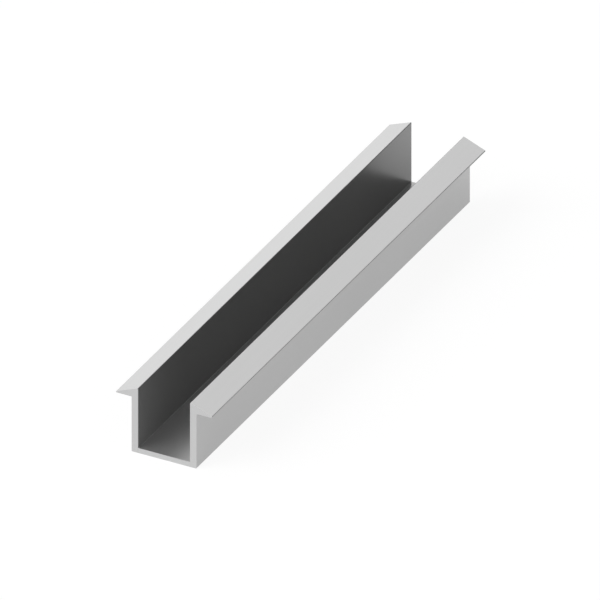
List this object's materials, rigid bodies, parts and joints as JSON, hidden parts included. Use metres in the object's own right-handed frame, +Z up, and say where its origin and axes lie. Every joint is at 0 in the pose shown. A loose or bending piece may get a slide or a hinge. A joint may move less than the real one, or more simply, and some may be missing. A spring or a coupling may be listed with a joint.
{
  "type": "metal channel section",
  "caption": "Extruded aluminium channel section: a U open at the top with a tapered wing along each lip, for a groove whose face the wings cover.",
  "frame": {"origin": "middle of the base, at half the length, on the surface that the section stands on", "axes": "+X across the section, +Y along its length, +Z up out of the opening"},
  "size_m": [0.0296, 0.16, 0.0204],
  "materials": {
    "satin_aluminium": "satin"
  },
  "bodies": {
    "root": {"channel_section": "satin_aluminium"}
  },
  "joints": []
}
